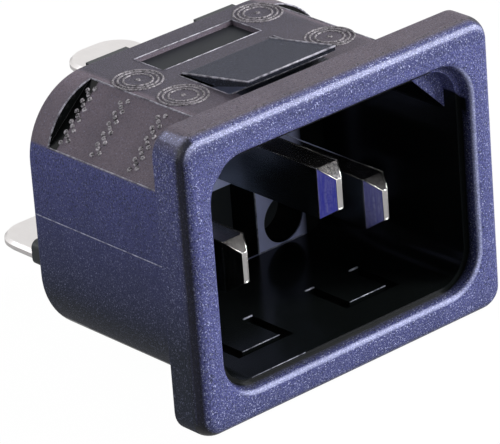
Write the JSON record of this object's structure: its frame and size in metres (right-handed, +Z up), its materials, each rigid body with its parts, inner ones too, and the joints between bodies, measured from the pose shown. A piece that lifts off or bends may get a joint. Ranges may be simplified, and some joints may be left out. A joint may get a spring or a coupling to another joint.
{
  "type": "panel appliance inlet",
  "caption": "Snap-in panel inlet with a flanged moulded housing, a keyed rectangular cavity with bevel-tipped contact pins, sprung latch tongues and rear tabs for push-on connectors.",
  "frame": {"origin": "centre of the flange's rear face, which seats on the front of the equipment panel", "axes": "+Y into the equipment along the pins, +X to the right seen from the front, +Z up towards the earth pin's side"},
  "size_m": [0.0306, 0.029, 0.0238],
  "materials": {
    "textured_black_plastic": "fine spark-eroded grain outside, polished inside the cavity",
    "smooth_black_plastic": "smooth moulded",
    "nickel_plate": "bright nickel plating",
    "tinned_strip": "satin tin plating"
  },
  "bodies": {
    "root": {"housing": "textured_black_plastic", "rear_carrier": "smooth_black_plastic", "line_pin": "nickel_plate", "neutral_pin": "nickel_plate", "earth_pin": "nickel_plate", "line_tab": "tinned_strip", "neutral_tab": "tinned_strip", "earth_tab": "tinned_strip"}
  },
  "joints": []
}
